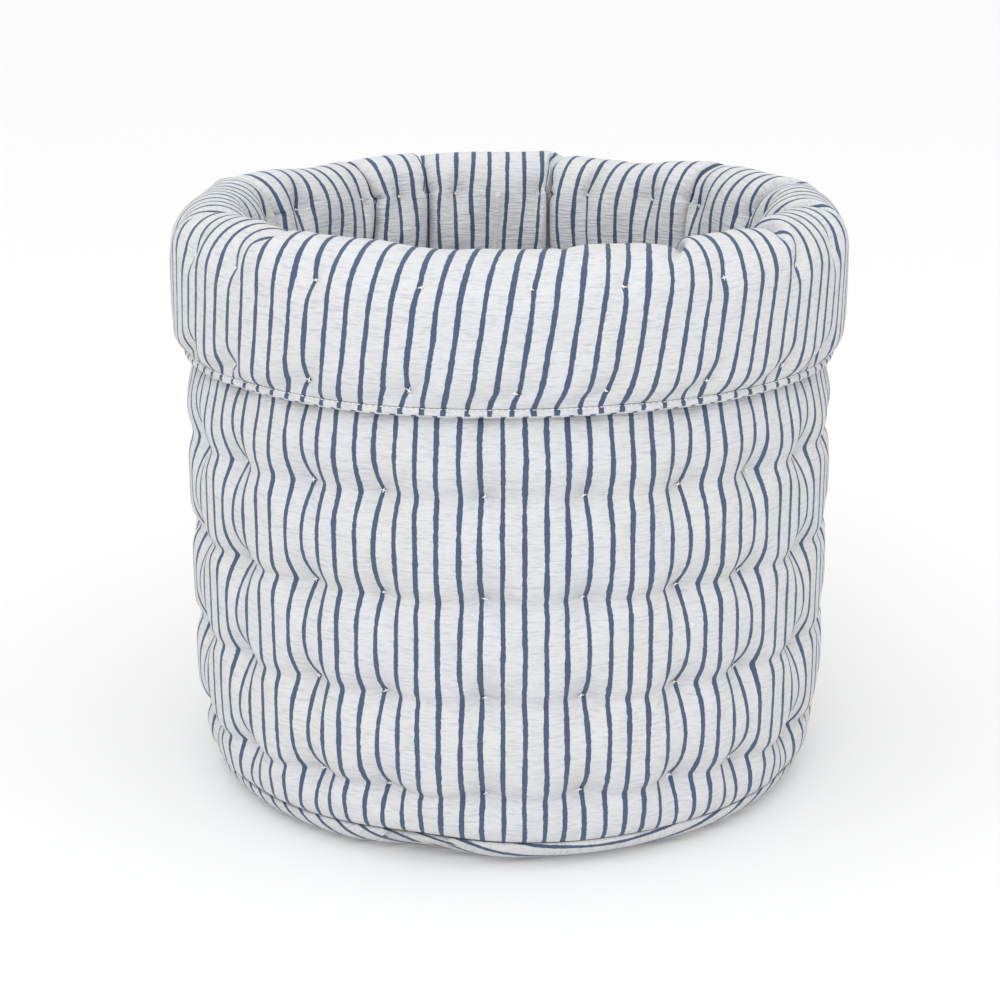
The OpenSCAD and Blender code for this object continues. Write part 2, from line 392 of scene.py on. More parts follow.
def wall_out_r(z):
    return BODY_R - FOOT_TUCK * tuck_share(z, SEAM_Z, FOOT_TOP_Z) - (BODY_R - NECK_R) * neck_share(z)


def arch_in_r(z):
    """Radius of the rim's mouth side above the top of the wall."""
    lift = np.clip((np.asarray(z, float) - RIM_Z) / RIM_RISE, 0, 1)
    return RIM_MID_R - RIM_HALF_W * np.sqrt(1 - lift ** 2)


def wall_in_r(z):
    below = BELLY_IN_R - (BELLY_IN_R - MOUTH_R) * neck_share(z)
    return np.where(np.asarray(z, float) > RIM_Z, arch_in_r(z), below)


def cuff_out_r(z):
    return CUFF_R - HEM_TUCK * tuck_share(z, HEM_Z - PIPING_R, CUFF_FULL_Z)


def wave(angle, seed, size, count):
    """Smooth unevenness round the basket, the same each time for one seed."""
    r = np.random.default_rng(seed)
    total = 0
    for k in count:
        total = total + r.uniform(0.4, 1.0) * np.cos(k * angle + r.uniform(0, TAU)) / k ** 0.5
    return size * total / len(count) ** 0.5


def hem_drop(angle):
    """How much higher or lower than its mean height the hem is."""
    return wave(angle, 11, 1.6 * MM, (3, 5, 8, 11))


SEAM_BUMP_ANGLE, SEAM_BUMP_HALF = 4.43, 0.2  # radians; there the base's edge is pushed in
SEAM_BUMP = 3 * MM


def base_seam_lift(angle):
    """How much higher or lower than its mean height the seam of wall and base is."""
    bump = np.exp(-((angle % TAU - SEAM_BUMP_ANGLE) / SEAM_BUMP_HALF) ** 2)
    return wave(angle, 5, 1.5 * MM, (2, 4, 7, 12)) + SEAM_BUMP * bump


# -------------------- gathers at the mouth

# Folds that take up the cloth at the mouth: direction in degrees from +X towards +Y, and half the number of
# cells that each draws in
FOLDS = {162: 3, 128: 3, 110: 3, 80: 4, 43: 3, 16: 3, -12: 3, -36: 3, -60: 4, -131: 4, -157: 3}
FOLD_DEPTH = 8.5 * MM
FOLD_DRAW = 0.9  # share of its width that a fold loses where the cloth is gathered in full
FOLD_GAP = 0.003  # radians between a fold and the cloth that swells towards it


def column_of(angle):
    return int(round((angle - SEAM_ANGLE) / TAU * AROUND)) % AROUND


FOLD_CELLS = {column_of(math.radians(a)): half for a, half in FOLDS.items()}
FOLD_COLUMNS = sorted(FOLD_CELLS)


def fold_profile():
    """Per column, 1 in the middle of a fold and 0 outside it."""
    i = np.arange(AROUND)
    depth = np.zeros(AROUND)
    for c, half in FOLD_CELLS.items():
        away = np.abs((i - c + AROUND // 2) % AROUND - AROUND // 2)
        depth = np.maximum(depth, np.clip(1 - away / half, 0, 1))
    return depth


FOLD = fold_profile()


def gathered_angles(gather):
    """Direction of each column of the cloth when a share of the folds is drawn in."""
    in_fold = np.minimum(FOLD, np.roll(FOLD, -1)) + np.abs(FOLD - np.roll(FOLD, -1)) > 0
    width = np.where(in_fold, 1 - FOLD_DRAW * gather, 1.0)
    start = np.concatenate([[0], np.cumsum(width)[:-1]])
    turned = start / width.sum() * TAU
    even = np.arange(AROUND) / AROUND * TAU
    drift = (turned - even).mean()
    return SEAM_ANGLE + turned - drift


# -------------------- cloth simulation

STEPS = 150
SWEEPS = 4  # passes over all the links in each step
SMOOTHING = 0.06


def pull(a, b, free_a, free_b, length, stretch, squeeze):
    """Moves both ends of each link towards its rest length, in place."""
    d = b - a
    now = np.sqrt((d * d).sum(-1))
    off = (now - length) / np.maximum(now, 1e-9)
    off = np.where(off > 0, off * stretch, off * squeeze)
    weight = off / np.maximum(free_a + free_b, 1e-9)
    a += d * (weight * free_a)[..., None]
    b -= d * (weight * free_b)[..., None]


def link_round(p, free, length, stretch, squeeze):
    """Links from each point to the next one in its row."""
    for first in (0, 1):
        a, b = p[:, first::2], np.roll(p, -1, axis=1)[:, first::2].copy()
        fa, fb = free[:, first::2], np.roll(free, -1, axis=1)[:, first::2]
        a = a.copy()
        pull(a, b, fa, fb, length[:, None], stretch, squeeze)
        p[:, first::2] = a
        p[:, (np.arange(first, p.shape[1], 2) + 1) % p.shape[1]] = b


def link_rows(p, free, length, stretch, squeeze, shift=0):
    """Links from each row to the next, straight along the cloth or, with a shift, across its cells."""
    for first in (0, 1):
        rows = np.arange(first, p.shape[0] - 1, 2)
        a = p[rows].copy()
        b = np.roll(p[rows + 1], -shift, axis=1)
        fb = np.roll(free[rows + 1], -shift, axis=1)
        pull(a, b, free[rows], fb, length[rows], stretch, squeeze)
        p[rows] = a
        p[rows + 1] = np.roll(b, shift, axis=1)


def normals_of(p):
    along = np.empty_like(p)
    along[1:-1] = p[2:] - p[:-2]
    along[0] = p[1] - p[0]
    along[-1] = p[-1] - p[-2]
    around = np.roll(p, -1, axis=1) - np.roll(p, 1, axis=1)
    n = np.cross(around, along)
    return n / np.maximum(np.linalg.norm(n, axis=-1, keepdims=True), 1e-12)


def inflate(start, held, round_length, row_length, push, sag, limit):
    """Cloth simulation of a padded ring, swollen by its wadding. round_length has each row's link length and
    row_length that of each link along the cloth. Held points stay put, limit(points) confines the others."""
    p = start.copy()
    before = start.copy()
    free = np.where(held, 0.0, 1.0)
    moving = free[..., None]
    across_length = np.sqrt(round_length[:-1, None] ** 2 + row_length ** 2)
    for step in range(STEPS):
        calm = 0.90 if step < STEPS * 0.7 else 0.6
        velocity = (p - before) * calm
        before = p.copy()
        p = p + (velocity + normals_of(p) * push - np.array([0, 0, sag])) * moving
        for sweep in range(SWEEPS):
            link_round(p, free, round_length, 0.9, 0.35)
            link_rows(p, free, row_length, 0.9, 0.35)
            link_rows(p, free, across_length, 0.25, 0.05, 1)
            link_rows(p, free, across_length, 0.25, 0.05, -1)
        smooth = (np.roll(p, 1, axis=1) + np.roll(p, -1, axis=1)) / 4
        smooth[1:-1] += (p[2:] + p[:-2]) / 4
        smooth[0], smooth[-1] = p[0], p[-1]
        p += (smooth - p) * moving * SMOOTHING
        p = np.where(held[..., None], start, limit(p))
    return p


# -------------------- meshes

def ring_points(angles, r, z):
    """Ring of points at those directions, all at one height unless z is an array."""
    return np.stack([r * np.cos(angles), r * np.sin(angles), z + 0 * r * angles], axis=-1)


# How crisp the cloth is beside a tuft, by cells to its left and right
CREASE_BY_TUFT = {-4: 0.2, -3: 0.45, -2: 0.8, -1: 1.0, 0: 1.0, 1: 0.8, 2: 0.45, 3: 0.2}


def crease_edges(mesh, count, rows, tufts, fold_rows):
    """Marks what stays crisp when subdivided: whole rows, the cloth beside each tuft, and the folds."""
    ends = np.zeros(len(mesh.edges) * 2, int)
    mesh.edges.foreach_get("vertices", ends)
    row, column = np.divmod(ends.reshape(-1, 2), AROUND)
    weight = np.zeros((count, AROUND))
    weight[rows] = 1
    for tuft_row, tuft_column in tufts:
        for step, value in CREASE_BY_TUFT.items():
            place = (tuft_row, (tuft_column + step) % AROUND)
            weight[place] = max(weight[place], value)
    left = np.where(np.abs(column[:, 0] - column[:, 1]) == 1, column.min(axis=1), column.max(axis=1))
    round_edge = row[:, 0] == row[:, 1]
    value = np.where(round_edge, weight[row[:, 0], left], 0)
    on_fold = ~round_edge & np.isin(column[:, 0], FOLD_COLUMNS)
    on_fold &= np.isin(row[:, 0], fold_rows) & np.isin(row[:, 1], fold_rows)
    value = np.where(on_fold, 1.0, value)
    crease = mesh.attributes.new("crease_edge", "FLOAT", "EDGE")
    crease.data.foreach_set("value", value.astype(np.float32))
    sharp = mesh.attributes.new("sharp_edge", "BOOLEAN", "EDGE")
    sharp.data.foreach_set("value", value > 0.9)


def add_object(mesh, material):
    """Object of the same name for a new mesh, smooth and with its material."""
    mesh.materials.append(material)
    mesh.polygons.foreach_set("use_smooth", np.ones(len(mesh.polygons), bool))
    mesh.update()
    obj = bpy.data.objects.new(mesh.name, mesh)
    bpy.context.scene.collection.objects.link(obj)
    return obj


def torus_mesh(name, rows, across, along, material, flip=False):
    """Closed ring of cloth from rows of points, with the place on the cloth as its UV map."""
    count, size = rows.shape[0], rows.shape[1]
    grid = np.arange(count * size).reshape(count, size)
    a, b = grid, np.roll(grid, -1, axis=1)
    c, d = np.roll(b, -1, axis=0), np.roll(a, -1, axis=0)
    order = [0, 3, 2, 1] if flip else [0, 1, 2, 3]
    faces = np.stack([a, b, c, d], axis=-1).reshape(-1, 4)[:, order]
    mesh = bpy.data.meshes.new(name)
    mesh.from_pydata(rows.reshape(-1, 3).tolist(), [], faces.tolist())
    uv = mesh.uv_layers.new(name="cloth")
    left = np.broadcast_to(across[:-1], (count, size))
    right = np.broadcast_to(across[1:], (count, size))
    low = np.broadcast_to(along[:-1, None], (count, size))
    high = np.broadcast_to(along[1:, None], (count, size))
    corners = np.stack([np.stack([left, low], -1), np.stack([right, low], -1),
                        np.stack([right, high], -1), np.stack([left, high], -1)], axis=2)
    uv.data.foreach_set("uv", corners[:, :, order].reshape(-1).astype(np.float32))
    return add_object(mesh, material)


def subdivide(obj):
    """One subdivision, applied."""
    mod = obj.modifiers.new("smooth", "SUBSURF")
    mod.levels = mod.render_levels = 1
    mod.uv_smooth = "NONE"
    shape = obj.evaluated_get(bpy.context.evaluated_depsgraph_get())
    mesh = bpy.data.meshes.new_from_object(shape)
    obj.modifiers.clear()
    old = obj.data
    obj.data = mesh
    bpy.data.meshes.remove(old)
    return obj


def cloth_across():
    """Place round the cloth of each column; the seam at the first one lies between two stripes."""
    return (np.arange(AROUND + 1) * TAU * NATURAL_R / AROUND) + STRIPE_PITCH / 2


def run_length(points):
    """Mean distance from each row to the next, and the running total."""
    step = np.linalg.norm(np.diff(points, axis=0), axis=-1).mean(axis=1)
    return step, np.concatenate([[0], np.cumsum(step)])


def wall_levels():
    """Heights of the rows of the wall's mesh, with a row at each row of tufts."""
    foot = np.linspace(SEAM_Z, FIRST_ROW_Z, FOOT_CELLS, endpoint=False)
    return np.concatenate([foot, np.linspace(FIRST_ROW_Z, JOIN_Z, WALL_ROWS * ROW_CELLS + 1)])


LEVELS = wall_levels()
TUFT_ROWS = [FOOT_CELLS + k * ROW_CELLS for k in range(WALL_ROWS + 1)]
JOIN_ROW = len(LEVELS) - 1  # row of tufts inside the mouth, where lining and cuff meet


def tuft_places(rows, shift=0, seed=3):
    """(row, column) of each tuft. Most are tied on the nearest stripe, the others on the even grid."""
    r = np.random.default_rng(seed)
    stripe = cloth_across() / STRIPE_PITCH
    off = np.abs(stripe - np.round(stripe))
    found = []
    for row in rows:
        for k in range(COLUMNS):
            column = CELLS // 2 + k * CELLS + shift
            if r.random() < 0.75:
                column += min((-1, 0, 1), key=lambda d: off[(column + d) % AROUND])
            found.append((row, column % AROUND))
    return found


def close_ring(name, face, back, across, along, material, tufts, fold_rows=(), flip=False):
    """Face and back as one closed ring, with one subdivision."""
    rows = np.concatenate([face, back[::-1]])
    back_step = 8 * MM
    back_along = along[-1] + back_step * np.arange(1, len(back) + 1)
    along_all = np.concatenate([along, back_along, [back_along[-1] + 4 * MM]])
    ring = torus_mesh(name, rows, across, along_all, material, flip)
    crease_edges(ring.data, len(rows), [0, len(face) - 1], tufts, fold_rows)
    return subdivide(ring)


def wall_room(radius):
    """Keeps the wall's points within its radius and the room it has to swell."""
    largest = (radius + WALL_ROOM * (1 - share(LEVELS, 0.225, 0.25)))[:, None]

    def limit(p):
        r_now = np.hypot(p[..., 0], p[..., 1])
        scale = np.minimum(1, largest / r_now)
        p[..., :2] *= scale[..., None]
        return p

    return limit


def wall_hoops(radius):
    """Length of each row's links round the wall, a little tight high up and along the rows of tufts."""
    from_row = np.abs(np.arange(len(LEVELS))[:, None] - np.array(TUFT_ROWS[:-1])).min(axis=1)
    valley = np.exp(-(from_row / 1.5) ** 2) * share(LEVELS, SEAM_Z, FOOT_EDGE_Z)
    hoop = radius - 1.2 * MM - 6.5 * MM * share(LEVELS, 0.12, 0.2) - 2.5 * MM * valley
    return TAU * hoop / AROUND


def wall_face():
    """Outer cloth of the wall, from the base seam up to the inside of the rim, and its tufts."""
    radius = wall_out_r(LEVELS)
    inset = WALL_INSET * share(LEVELS, SEAM_Z, FOOT_EDGE_Z)
    start = np.stack([ring_points(EVEN_ANGLES, wall_out_r(z) - d, z) for z, d in zip(LEVELS, inset)])
    start[0, :, 2] += base_seam_lift(EVEN_ANGLES)
    start[1, :, 2] += base_seam_lift(EVEN_ANGLES) * 0.5
    held = np.zeros(start.shape[:2], bool)
    held[0] = held[-1] = True
    tufts = tuft_places(TUFT_ROWS[:-1])
    r = np.random.default_rng(21)
    for row, column in tufts:
        depth = r.uniform(*WALL_TUFT_DEPTH) * MM
        start[row, column] = ring_points(EVEN_ANGLES[column], wall_out_r(LEVELS[row]) - depth, LEVELS[row])
        held[row, column] = True
    step, _ = run_length(start)
    row_length = np.repeat(step[:, None] * WALL_SLACK, AROUND, axis=1)
    face = inflate(start, held, wall_hoops(radius), row_length, WALL_PUSH, WALL_SAG, wall_room(radius))
    return face, tufts


def lobe_limit(angles_by_row, gather_by_row):
    """Keeps the cloth on each side of a drawn-in fold on its own side of it."""
    centre = np.array(FOLD_COLUMNS)
    i = np.arange(AROUND)
    before = np.searchsorted(centre, i, side="right") - 1
    low_fold = centre[before]
    high_fold = centre[(before + 1) % len(centre)]
    rows = np.where(gather_by_row > 0.2)[0]
    margin = math.pi / 8

    def limit(p):
        for j in rows:
            a = angles_by_row[j]
            low = a[low_fold]
            span = (a[high_fold] - low) % TAU
            now = (np.arctan2(p[j, :, 1], p[j, :, 0]) - low + margin) % TAU - margin
            kept = np.clip(now, FOLD_GAP, span - FOLD_GAP)
            turn = kept - now
            turn[centre] = 0
            x, y = p[j, :, 0].copy(), p[j, :, 1].copy()
            p[j, :, 0] = x * np.cos(turn) - y * np.sin(turn)
            p[j, :, 1] = x * np.sin(turn) + y * np.cos(turn)
        return p

    return limit


def lining_start():
    """The lining before it swells, from the base seam up to the mouth, where it is gathered into folds."""
    gather = share(LEVELS, 0.255, 0.315)
    angles = np.stack([gathered_angles(g) for g in gather])
    radius = wall_in_r(LEVELS)
    out = radius + LINING_INSET * share(LEVELS, SEAM_Z, FOOT_EDGE_Z)
    start = np.stack([ring_points(angles[j], out[j] + FOLD * gather[j] * FOLD_DEPTH, LEVELS[j])
                      for j in range(len(LEVELS))])
    held = np.zeros(start.shape[:2], bool)
    held[0] = True
    for j in np.where(gather > 0.35)[0]:
        held[j, FOLD_COLUMNS] = True
    tufts = tuft_places(TUFT_ROWS, seed=3)
    for row, column in tufts:
        start[row, column] = ring_points(angles[row][column], radius[row] + LINING_TUFT_DEPTH, LEVELS[row])
        held[row, column] = True
    flat = TAU * radius * 1.015 / AROUND
    round_length = flat + (CELL_W - flat) * gather
    return start, held, round_length, gather, angles, tufts


def cuff_outline():
    """(radius, height) of the cuff's face, from the inner row of tufts over the rim and down to the hem."""
    lean = math.asin((JOIN_Z - RIM_Z) / RIM_RISE)
    t = np.linspace(math.pi - lean, lean, ARCH_CELLS + 1)
    arch = np.stack([RIM_MID_R + RIM_HALF_W * np.cos(t), RIM_Z + RIM_RISE * np.sin(t)], -1)
    z_cuff = np.linspace(JOIN_Z, HEM_TUFT_Z, CUFF_CELLS + 1)[1:]
    z_hem = np.linspace(HEM_TUFT_Z, HEM_Z, HEM_CELLS + 1)[1:]
    z = np.concatenate([z_cuff, z_hem])
    lift = np.clip((z - RIM_Z) / RIM_RISE, 0, 1)
    r = np.where(z > RIM_Z, RIM_MID_R + RIM_HALF_W * np.sqrt(1 - lift ** 2), cuff_out_r(z))
    return np.concatenate([arch, np.stack([r, z], -1)])


def cuff_twist():
    """How far each row of the cuff has slipped round, in radians: none inside the mouth, most at the hem."""
    rows = [0, CREST_ROW, *CUFF_TUFT_ROWS, CUFF_ROWS - 1]
    lean = np.interp(np.arange(CUFF_ROWS), rows, [0, 0, -2.2, -3.8, -6.0])
    kernel = np.array([1, 2, 3, 2, 1]) / 9
    padded = np.concatenate([[lean[0]] * 2, lean, [lean[-1]] * 2])
    return np.radians(np.convolve(padded, kernel, "valid"))


# Dips of the rim: direction in degrees, height in millimetres, and how narrow each is
CREST_SHAPE = [(-96, -4.5, 16), (64, -6, 40), (136, -4, 40), (180, -3, 9), (0, -2, 9)]


def crest_lift(angle):
    """How much higher than in the CAD the rim stands; it is higher round the back and the sides."""
    rise = wave(angle, 31, 1.2 * MM, (5, 7, 9, 13)) + 6 * MM * share(np.sin(angle), -0.8, 0.1)
    for direction, height, narrow in CREST_SHAPE:
        rise = rise + height * MM * np.exp(narrow * (np.cos(angle - math.radians(direction)) - 1))
    return rise


def outwards(line):
    """Direction, across the cloth, in which each row of the cuff swells."""
    from_centre = line - np.array([RIM_MID_R - 2 * MM, RIM_Z])
    out_dir = from_centre / np.linalg.norm(from_centre, axis=1, keepdims=True)
    out_dir[CUFF_TUFT_ROWS[0] + 1:] = (1, 0)
    out_dir[0] = (-1, 0)
    return out_dir


def cuff_grid(line, gather, angles):
    """Rows of points inside the cuff's outline, deeper in the folds and lifted at the crest."""
    out_dir = outwards(line)
    inset = CUFF_INSET * (1 - share(np.arange(CUFF_ROWS), CUFF_ROWS - 4, CUFF_ROWS - 1))
    crest = crest_lift(angles[CREST_ROW])
    rows = []
    for j in range(CUFF_ROWS):
        depth = inset[j] + FOLD * gather[j] * FOLD_DEPTH
        r = line[j, 0] - out_dir[j, 0] * depth
        z = line[j, 1] - out_dir[j, 1] * depth
        rows.append(ring_points(angles[j], r, z + share(line[j, 1], JOIN_Z, TOP_Z) * crest))
    grid = np.stack(rows)
    hem = hem_drop(angles[-1])
    grid[-1, :, 2] += hem
    grid[-2, :, 2] += hem * 0.6
    return grid


def cuff_start():
    """The cuff before it swells, from the mouth over the rim and down to the hem."""
    line = cuff_outline()
    gather = np.clip((NATURAL_R - line[:, 0]) / (NATURAL_R - MOUTH_R), 0, 1)
    gather[0] = 1
    angles = np.stack([gathered_angles(g) + t for g, t in zip(gather, cuff_twist())])
    start = cuff_grid(line, gather, angles)
    held = np.zeros(start.shape[:2], bool)
    held[-1] = True
    for j in np.where(gather > 0.5)[0]:
        held[j, FOLD_COLUMNS] = True
    tufts = tuft_places(CUFF_TUFT_ROWS, CUFF_TUFT_SHIFT, seed=8)
    r = np.random.default_rng(23)
    for row, column in tufts:
        least, most = RIM_TUFT_DEPTH if row == CUFF_TUFT_ROWS[0] else HEM_TUFT_DEPTH
        depth = r.uniform(least, most) * MM
        start[row, column, :2] *= (line[row, 0] - depth) / np.hypot(*start[row, column, :2])
        held[row, column] = True
    round_length = np.maximum(CELL_W, TAU * line[:, 0] / AROUND)
    return start, held, round_length, gather, angles, tufts


def inner_room(angles, gather):
    """Keeps the inner cloth out of the basket's room, below its crest and between its folds."""
    sides = lobe_limit(angles, gather)
    mouth = np.full(CUFF_ROWS - 1, MOUTH_R)
    smallest = (np.concatenate([wall_in_r(LEVELS), mouth]) - MOUTH_ROOM)[:, None]
    largest = CUFF_R - CUFF_MARGIN

    def limit(p):
        highest = TOP_Z + CREST_ROOM + crest_lift(np.arctan2(p[..., 1], p[..., 0]))
        p[..., 2] = np.minimum(p[..., 2], highest)
        r_now = np.hypot(p[..., 0], p[..., 1])
        p[..., :2] *= np.clip(r_now, smallest, largest)[..., None] / r_now[..., None]
        return sides(p)

    return limit


def inner_cloth():
    """Lining and cuff, which are one cloth from the base seam over the rim to the hem."""
    *low, lining_tufts = lining_start()
    *top, on_cuff = cuff_start()
    start, held, round_length, gather, angles = (np.concatenate([a, b[1:]]) for a, b in zip(low, top))
    step, along = run_length(start)
    arch = slice(JOIN_ROW, JOIN_ROW + ARCH_CELLS)
    row_length = np.repeat(step[:, None] * INNER_SLACK, AROUND, axis=1)
    row_length[arch] *= 1 + crest_lift(angles[JOIN_ROW + CREST_ROW]) * 2 / step[arch].sum()
    room = inner_room(angles, gather)
    face = inflate(start, held, round_length, row_length, INNER_PUSH, INNER_SAG, room)
    return {"face": face, "along": along, "angles": angles, "lining_tufts": lining_tufts,
            "cuff_tufts": [(row + JOIN_ROW, column) for row, column in on_cuff],
            "fold_rows": np.where(gather > 0.35)[0]}


# -------------------- pieces

STITCH_R = 0.33 * MM
SEAM_HALF_CELLS = 0.5  # half the width of the felled seam up the back, in cells of the cloth
SEAM_HEIGHT = 0.6 * MM
SEAM_OUTLINE = [(-1, -0.5), (-0.8, 0.6), (-0.3, 1.0), (0.3, 1.0), (0.8, 0.6), (1, -0.5)]


def smoothed(p):
    """Where the points of an open grid lie after the subdivision."""
    side = (np.roll(p, 1, axis=1) + np.roll(p, -1, axis=1)) / 2
    out = p.copy()
    up = (p[2:] + p[:-2]) / 2
    corner = (side[2:] + side[:-2]) / 2
    out[1:-1] = p[1:-1] * 0.5625 + (side[1:-1] + up) * 0.1875 + corner * 0.0625
    return out


def on_face(p, row, column):
    """Point of the cloth between the points of its grid."""
    j, i = int(math.floor(row)), int(math.floor(column))
    v, u = row - j, column - i
    j2 = min(j + 1, len(p) - 1)
    a, b = p[j, i % AROUND], p[j, (i + 1) % AROUND]
    c, d = p[j2, i % AROUND], p[j2, (i + 1) % AROUND]
    return (a * (1 - u) + b * u) * (1 - v) + (c * (1 - u) + d * u) * v


def tube_faces(count, length, sides):
    """Faces of closed tubes whose points come tube by tube and ring by ring."""
    grid = np.arange(count * length * sides).reshape(count, length, sides)
    after = np.roll(grid, -1, axis=2)
    walls = np.stack([grid[:, :-1], after[:, :-1], after[:, 1:], grid[:, 1:]], -1).reshape(-1, 4)
    return walls.tolist() + grid[:, 0, ::-1].tolist() + grid[:, -1].tolist()


def tubes(name, paths, radius, material, sides=6):
    """Short threads, each a closed tube along its own points, as one mesh."""
    paths = np.asarray(paths)
    count, length = paths.shape[:2]
    ahead = np.gradient(paths, axis=1)
    ahead /= np.linalg.norm(ahead, axis=-1, keepdims=True)
    away = paths.mean(axis=1, keepdims=True) * np.array([1, 1, 0]) + np.array([0, 0, 1e-3])
    side = np.cross(ahead, away)
    side /= np.maximum(np.linalg.norm(side, axis=-1, keepdims=True), 1e-9)
    up = np.cross(side, ahead)
    turn = np.arange(sides) * TAU / sides
    taper = np.ones(length)
    taper[[0, -1]] = 0.45
    cosine, sine = np.cos(turn)[None, None, :, None], np.sin(turn)[None, None, :, None]
    ring = side[:, :, None] * cosine + up[:, :, None] * sine
    points = (paths[:, :, None] + ring * (radius * taper)[None, :, None, None]).reshape(-1, 3)
    place = np.stack([points[:, 0] + points[:, 1], points[:, 2]], -1)
    return plain_mesh(name, points, tube_faces(count, length, sides), material, place)


def plain_mesh(name, points, faces, material, place):
    """Mesh object with each point's place on the cloth as its UV map."""
    mesh = bpy.data.meshes.new(name)
    mesh.from_pydata(points.tolist(), [], faces)
    corner = np.zeros(len(mesh.loops), int)
    mesh.loops.foreach_get("vertex_index", corner)
    uv = mesh.uv_layers.new(name="cloth")
    uv.data.foreach_set("uv", place[corner].reshape(-1).astype(np.float32))
    return add_object(mesh, material)


def tuft_stitches(name, face, places, way_out, material, seed):
    """The crossed stitch that shows at each tuft, lying in its dimple: one long strand and one short one.
    way_out is 1 where the face's normals point out of the cloth, and -1 where they point into it."""
    r = np.random.default_rng(seed)
    shape = smoothed(face)
    normal = normals_of(shape) * way_out
    paths = []
    for row, column in places:
        lean = r.uniform(-0.3, 0.5)
        long_reach = r.uniform(0.42, 0.58)
        short_lean = lean + r.uniform(0.7, 1.7)
        short_reach = r.uniform(0.25, 0.42)
        for turn, reach in ((lean, long_reach), (short_lean, short_reach)):
            path = []
            for t in np.linspace(-1, 1, 5):
                point = on_face(shape, row + t * reach * math.sin(turn), column + t * reach * math.cos(turn))
                path.append(point + normal[row, column] * (0.9 - 0.8 * t * t) * MM)
            paths.append(path)
    return tubes(name, paths, STITCH_R, material)


def seam_strip(name, face, rows, way_out, material):
    """Narrow felled seam up the back, where the cloth's two ends meet, following the quilted face."""
    shape = smoothed(face)[rows]
    normal = normals_of(shape)[:, 0] * way_out
    middle = shape[:, 0]
    side = (shape[:, 1] - shape[:, -1]) / 2 * SEAM_HALF_CELLS
    points = np.stack([middle + side * a + normal * SEAM_HEIGHT * b for a, b in SEAM_OUTLINE], axis=1)
    count, size = points.shape[:2]
    across = STRIPE_PITCH / 2 + np.array([a for a, _ in SEAM_OUTLINE]) * SEAM_HALF_CELLS * CELL_W
    place = np.stack([np.broadcast_to(across, (count, size)), points[..., 2]], -1).reshape(-1, 2)
    return plain_mesh(name, points.reshape(-1, 3), tube_faces(1, count, size), material, place)


def build_piping(angles, material):
    """Roll of the cuff's own cloth along its hem. Its two edges carry the stripes at different places."""
    sides = 12
    turn = np.arange(sides) * TAU / sides
    size = PIPING_R * (1 + wave(angles, 41, 0.10, (9, 14, 23, 31)))
    r = PIPING_MID_R + size * np.cos(turn)[:, None]
    z = PIPING_Z + hem_drop(angles) + size * np.sin(turn)[:, None]
    rows = np.stack([r * np.cos(angles), r * np.sin(angles), z], -1)
    along = np.arange(sides + 1) * TAU * PIPING_R / sides
    obj = torus_mesh("hem_roll", rows, cloth_across(), along, material)
    uv = obj.data.uv_layers["cloth"].data
    place = np.zeros(len(uv) * 2, np.float32)
    uv.foreach_get("uv", place)
    place = place.reshape(sides, AROUND * 4, 2)
    low = np.sin(turn + TAU / sides / 2) < -0.6
    place[low, :, 0] += STRIPE_PITCH * 0.37
    uv.foreach_set("uv", place.reshape(-1))
    return subdivide(obj)


BASE_TUFT_REACH = 2  # tufts from the middle of the base to the last one, each way
BASE_PUFF = 7 * MM  # how far the floor swells between its tufts
BASE_LOW = 11.5 * MM  # height of the floor at its tufts
BASE_MIDDLE_R = 4 * MM  # radius of the small face in the middle of the base
BASE_DENT_ANGLE, BASE_DENT_HALF = math.radians(254), math.radians(9)
BASE_DENT = 9 * MM
BASE_GRAIN = math.radians(16)  # how far the base's cloth is turned from the front


def base_height(x, y):
    """Height of the quilted inner floor of the basket."""
    ripple = (np.sin(math.pi * x / ROW_PITCH) ** 2 + np.sin(math.pi * y / ROW_PITCH) ** 2) / 2
    r = np.hypot(x, y)
    edge = 1 - share(r, BELLY_IN_R - 16 * MM, BELLY_IN_R + 2 * MM)
    return BASE_LOW + BASE_PUFF * np.sqrt(ripple + 0.002) * edge


def base_under():
    """Rings from the middle of the underside out and up to the seam, and how far along the cloth each is."""
    angles = EVEN_ANGLES
    lift = base_seam_lift(angles)
    flat_r = BASE_R - EDGE_W
    dent = BASE_DENT * np.exp(-((angles - BASE_DENT_ANGLE) / BASE_DENT_HALF) ** 2)
    high = SEAM_Z + lift - 0.4 * MM
    reach = list(np.linspace(BASE_MIDDLE_R, flat_r, 9))
    rows = [ring_points(angles, r, 0.0) for r in reach]
    for t in np.linspace(0, math.pi / 2, 10)[1:]:
        bulge = 1 + 0.03 * math.sin(2 * t)
        r = flat_r + EDGE_W * math.sin(t) * bulge + wave(angles, 51, 1.1 * MM, (5, 9, 16)) * math.sin(t)
        rows.append(ring_points(angles, r - dent * math.sin(2 * t), high * (1 - math.cos(t))))
        reach.append(flat_r + (EDGE_W + SEAM_Z) * 0.77 * t / (math.pi / 2))
    return rows, reach


def base_inside():
    """Rings of the quilted floor, from the seam in to the middle, and how far from the middle each is."""
    reach = [BASE_R - 5 * MM, BELLY_IN_R + 6 * MM, *np.linspace(BELLY_IN_R, BASE_MIDDLE_R, 42)]
    rows = []
    for r in reach:
        x, y = r * np.cos(EVEN_ANGLES), r * np.sin(EVEN_ANGLES)
        rows.append(np.stack([x, y, base_height(x, y)], -1))
    return rows, reach


